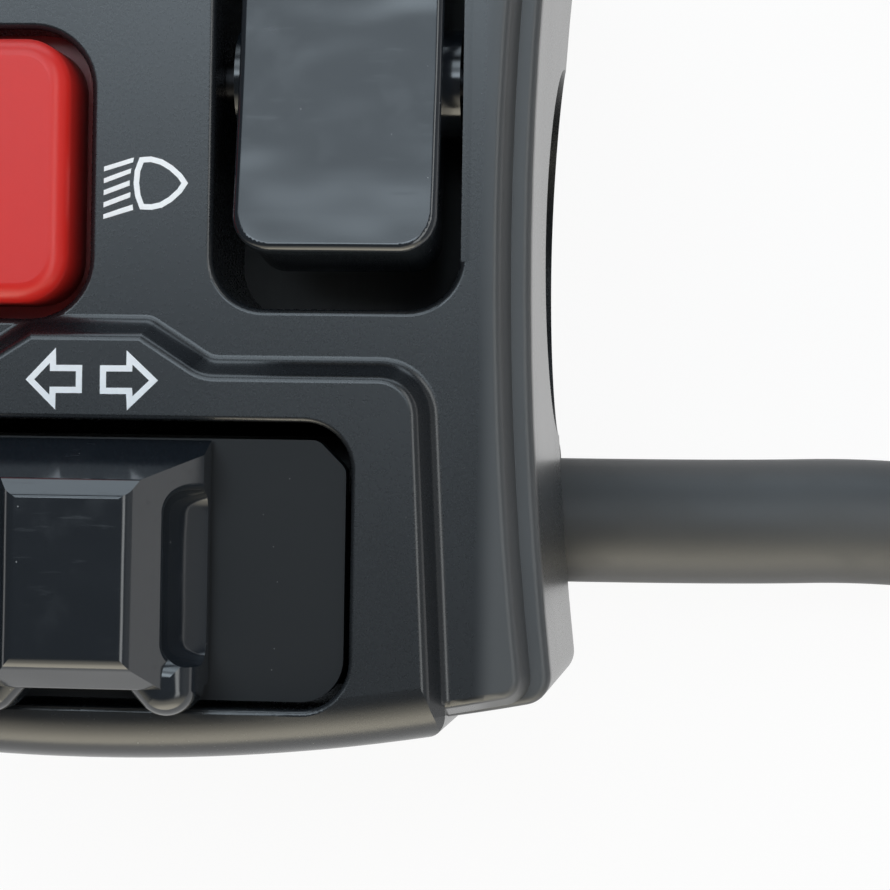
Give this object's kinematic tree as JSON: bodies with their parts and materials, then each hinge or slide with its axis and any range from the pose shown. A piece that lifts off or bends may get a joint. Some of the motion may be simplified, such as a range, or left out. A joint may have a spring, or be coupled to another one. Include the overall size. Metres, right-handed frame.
{
  "type": "handlebar switch cluster",
  "caption": "Left-hand motorcycle handlebar switch housing with a red push button, a dip-beam rocker, a sliding turn-signal switch and a coiled cable with a plug.",
  "frame": {"origin": "centre of the handlebar bore, midway along it", "axes": "+X along the handlebar towards the cable, +Y up the switch's face, +Z out of the face; it lies on its flat back, 18 mm below the origin"},
  "size_m": [0.1618, 0.0971, 0.051],
  "materials": {
    "housing_plastic": "satin, finely textured",
    "black_gloss": "gloss",
    "red_gloss": "gloss",
    "inset_black": "satin",
    "board": "matt moulding",
    "slider_nylon": "satin",
    "brass": "bright",
    "steel": "zinc plated",
    "black_steel": "black oxide",
    "spring_steel": "bright wire",
    "cable_sheath": "matt",
    "soft_rubber": "matt",
    "tie_nylon": "satin",
    "plug_nylon": "satin"
  },
  "bodies": {
    "housing": {"front_shell": "housing_plastic", "rear_shell": "housing_plastic", "clamp_screws": "steel", "clamp_inserts": "brass", "button_base": "board", "button_terminals": "brass", "button_spring": "spring_steel", "rocker_pins": "black_steel", "dimmer_base": "board", "dimmer_terminals": "brass", "turn_plate": "inset_black", "turn_base": "board", "turn_terminals": "brass", "base_screws": "steel", "cable_inner_end": "cable_sheath", "cable_tie": "tie_nylon", "cable_grommet": "soft_rubber", "cable_sheath": "cable_sheath", "cable_coil": "cable_sheath", "connector_boot": "soft_rubber", "connector_housing": "plug_nylon", "connector_pins": "brass"},
    "button": {"red_button": "red_gloss", "button_contact": "brass"},
    "rocker": {"dimmer_rocker": "black_gloss", "rocker_plunger": "slider_nylon", "plunger_spring": "spring_steel"},
    "see_saw": {"dimmer_contact": "brass"},
    "turn_slider": {"turn_knob": "black_gloss", "turn_carriage": "slider_nylon", "knob_screw": "steel", "turn_contact": "brass", "detent_ball": "steel", "detent_spring": "spring_steel"}
  },
  "joints": [
    {"name": "button_press", "type": "slide", "parent": "housing", "child": "button", "axis": [0, 0, -1], "range_m": [0, 0.0024], "stiffness_N_per_m": 500, "springref_m": -0.002, "deforming": ["button_spring"]},
    {"name": "rocker_tilt", "type": "hinge", "parent": "housing", "child": "rocker", "pos_m": [0.01255, 0.00765, 0.021], "axis": [1, 0, 0], "range_deg": [0, 16]},
    {"name": "see_saw_tilt", "type": "hinge", "parent": "housing", "child": "see_saw", "pos_m": [0.01255, 0.00765, 0.01577], "axis": [1, 0, 0], "range_deg": [-10, 0]},
    {"name": "turn_slide", "type": "slide", "parent": "housing", "child": "turn_slider", "axis": [1, 0, 0], "range_m": [-0.004, 0.004]}
  ],
  "couplings": [
    {"joint": "see_saw_tilt", "follows": "rocker_tilt", "ratio": -0.625}
  ]
}
